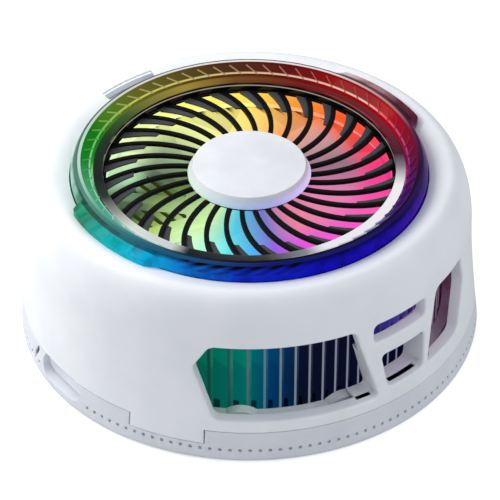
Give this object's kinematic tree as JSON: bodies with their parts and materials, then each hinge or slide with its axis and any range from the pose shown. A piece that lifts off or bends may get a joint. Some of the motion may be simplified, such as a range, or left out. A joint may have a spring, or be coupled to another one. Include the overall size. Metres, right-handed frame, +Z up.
{
  "type": "phone cooling fan",
  "caption": "Round magnetic phone cooler: vented shell with a lit clear ring and swept grille over a fan, heat sink and thermoelectric cooler, with a cold face under it.",
  "frame": {"origin": "middle of the contact pad's lower face, which rests on the phone", "axes": "+Z up along the fan's axis, -Y out through the middle of one group of vents, the port near -X"},
  "size_m": [0.066, 0.066, 0.0276],
  "materials": {
    "white_shell": "fine satin moulding",
    "white_cap": "satin, slightly glossy",
    "thermal_pad": "soft silicone",
    "bare_aluminium": "bare milled",
    "steel": "plated",
    "magnet": "dull nickel",
    "iron": "varnished laminations",
    "ceramic": "fired alumina",
    "legs": "sawn semiconductor",
    "lead_cover": "silicone cover",
    "foam": "closed-cell foam",
    "board": "solder mask",
    "chip": "moulded",
    "dark_lens": "smoked",
    "black_plastic": "satin black",
    "bronze": "sintered",
    "copper_wire": "enamelled wire",
    "frosted_blades": "frosted, lit from the ring",
    "light_emitter": "lit",
    "clear_ring": "clear, lit in rainbow colours",
    "tinted_liner": "ribbed, lit in rainbow colours",
    "polished_bezel": "polished",
    "grey_bar": "matte"
  },
  "bodies": {
    "housing": {"base_tray": "white_shell", "contact_pad": "thermal_pad", "cold_plate": "bare_aluminium", "magnet_segments": "magnet", "magnet_yoke": "steel", "cold_ceramic": "ceramic", "cooler_legs": "legs", "hot_ceramic": "ceramic", "cooler_leads": "lead_cover", "heat_sink": "bare_aluminium", "clamp_screws": "steel", "insulation_collar": "foam", "control_board": "board", "board_parts": "chip", "usb_shell": "steel", "usb_tongue": "chip", "indicator_lens": "dark_lens", "outer_shell": "white_shell", "case_screws": "steel", "motor_base": "black_plastic", "bearing_sleeve": "bronze", "stator_core": "iron", "motor_coils": "copper_wire", "motor_board": "board", "led_board": "board", "ring_leds": "light_emitter", "light_ring": "clear_ring", "ribbed_liner": "tinted_liner", "liner_ribs": "tinted_liner", "bezel_ring": "polished_bezel", "grille": "black_plastic", "hub_cap": "white_cap", "status_bar": "grey_bar"},
    "rotor": {"motor_shaft": "steel", "rotor_magnet": "magnet", "rotor_yoke": "steel", "fan_impeller": "frosted_blades"}
  },
  "joints": [
    {"name": "fan_spin", "type": "hinge", "parent": "housing", "child": "rotor", "pos_m": [0, 0, 0.018], "axis": [0, 0, 1], "continuous": true}
  ]
}
